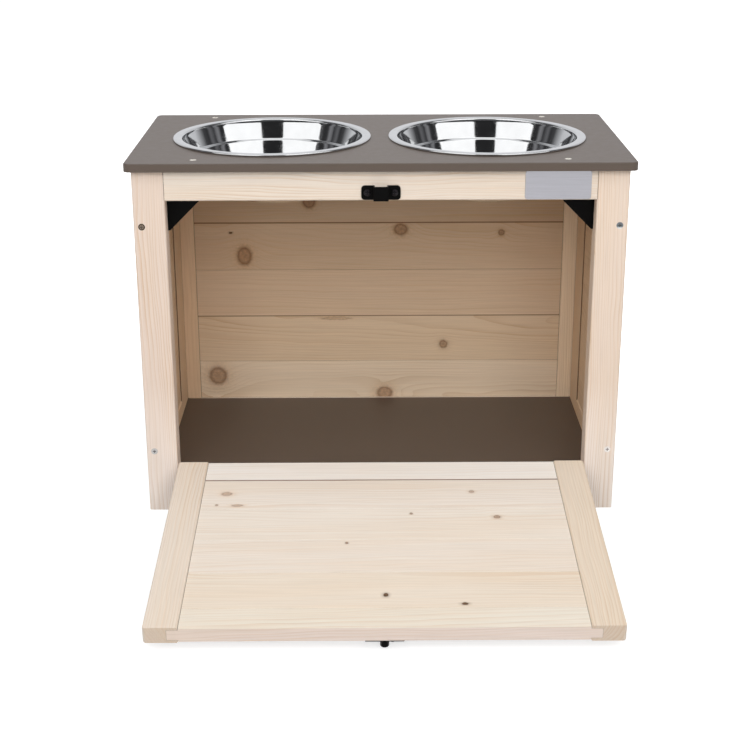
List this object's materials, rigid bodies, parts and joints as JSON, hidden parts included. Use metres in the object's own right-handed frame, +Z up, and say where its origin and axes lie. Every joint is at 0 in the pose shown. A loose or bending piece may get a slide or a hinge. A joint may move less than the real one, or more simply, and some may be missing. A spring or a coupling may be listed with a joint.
{
  "type": "dog feeder stand",
  "caption": "Pine cabinet on legs whose top panel holds lift-out steel bowls, with a boarded flap in front that hinges down and is held shut by a barrel bolt.",
  "frame": {"origin": "on the ground, in the middle of the box around the stand and its open flap", "axes": "+X to the stand's right as seen from the front, +Y from the flap to the back wall, +Z up"},
  "size_m": [0.6, 0.6642, 0.4469],
  "materials": {
    "pine": "planed, untreated",
    "ivory_steel": "ivory lacquer on steel",
    "taupe_board": "satin taupe coating on board",
    "stainless_steel": "mirror polished",
    "black_steel": "satin black",
    "zinc_steel": "bright zinc plated"
  },
  "bodies": {
    "stand": {"top_panel": "taupe_board", "front_left_leg": "pine", "front_right_leg": "pine", "rear_left_leg": "pine", "rear_right_leg": "pine", "front_top_rail": "pine", "front_bottom_rail": "pine", "rear_top_rail": "pine", "rear_bottom_rail": "pine", "left_front_stile": "pine", "left_rear_stile": "pine", "left_top_rail": "pine", "left_bottom_rail": "pine", "left_side_boards": "pine", "right_front_stile": "pine", "right_rear_stile": "pine", "right_top_rail": "pine", "right_bottom_rail": "pine", "right_side_boards": "pine", "back_board_1": "pine", "back_board_2": "pine", "back_board_3": "pine", "back_board_4": "pine", "back_board_5": "pine", "back_board_6": "pine", "floor_panel": "taupe_board", "left_corner_bracket": "black_steel", "right_corner_bracket": "black_steel", "bracket_screws": "black_steel", "keeper": "black_steel", "keeper_screws": "black_steel", "leg_screws": "zinc_steel", "top_screws": "ivory_steel", "left_hinge_rail_leaf": "zinc_steel", "right_hinge_rail_leaf": "zinc_steel", "left_hinge_pin": "zinc_steel", "right_hinge_pin": "zinc_steel", "hinge_rail_screws": "zinc_steel"},
    "flap": {"left_hinge_flap_leaf": "zinc_steel", "right_hinge_flap_leaf": "zinc_steel", "hinge_flap_screws": "zinc_steel", "flap_left_stile": "pine", "flap_right_stile": "pine", "flap_board_1": "pine", "flap_board_2": "pine", "flap_board_3": "pine", "flap_board_4": "pine", "flap_board_5": "pine", "flap_board_6": "pine", "bolt_base_plate": "black_steel", "bolt_screws": "black_steel"},
    "bolt": {"bolt_rod": "black_steel", "bolt_knob": "black_steel"},
    "left_bowl": {"left_bowl": "stainless_steel"},
    "right_bowl": {"right_bowl": "stainless_steel"}
  },
  "joints": [
    {"name": "flap_hinge", "type": "hinge", "parent": "stand", "child": "flap", "pos_m": [0, 0.01754, 0.04635], "axis": [-1, 0, 0], "range_deg": [0, 96.06]},
    {"name": "bolt_slide", "type": "slide", "parent": "flap", "child": "bolt", "axis": [0, -0.9944, -0.1055], "range_m": [0, 0.0095]},
    {"name": "left_bowl_lift", "type": "slide", "parent": "stand", "child": "left_bowl", "axis": [0, 0, 1], "range_m": [0, 0.09]},
    {"name": "right_bowl_lift", "type": "slide", "parent": "stand", "child": "right_bowl", "axis": [0, 0, 1], "range_m": [0, 0.09]}
  ]
}
